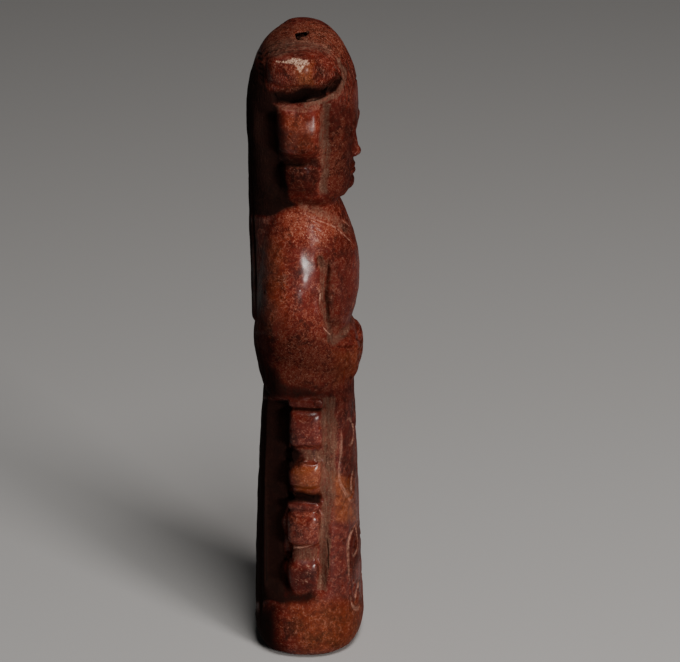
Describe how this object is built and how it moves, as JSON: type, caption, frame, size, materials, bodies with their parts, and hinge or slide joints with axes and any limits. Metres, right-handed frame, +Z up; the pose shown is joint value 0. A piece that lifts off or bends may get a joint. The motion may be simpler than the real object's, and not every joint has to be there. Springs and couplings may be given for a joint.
{
  "type": "stone hermit statue",
  "caption": "Small standing stone figure in a long robe, hands joined in front, hair knots over the ears, carved in one piece with a drilled hole in its crown.",
  "frame": {"origin": "centre of the figure's bounding box, on the flat underside it stands on", "axes": "+Z up along the figure, -Y the way it faces, -X towards its own right hand"},
  "size_m": [0.028, 0.023, 0.13],
  "materials": {
    "red_brown_stone": "mottled red-brown stone, polished where it stands proud and dull with dust in the cuts"
  },
  "bodies": {
    "root": {"hermit_figure": "red_brown_stone"}
  },
  "joints": []
}
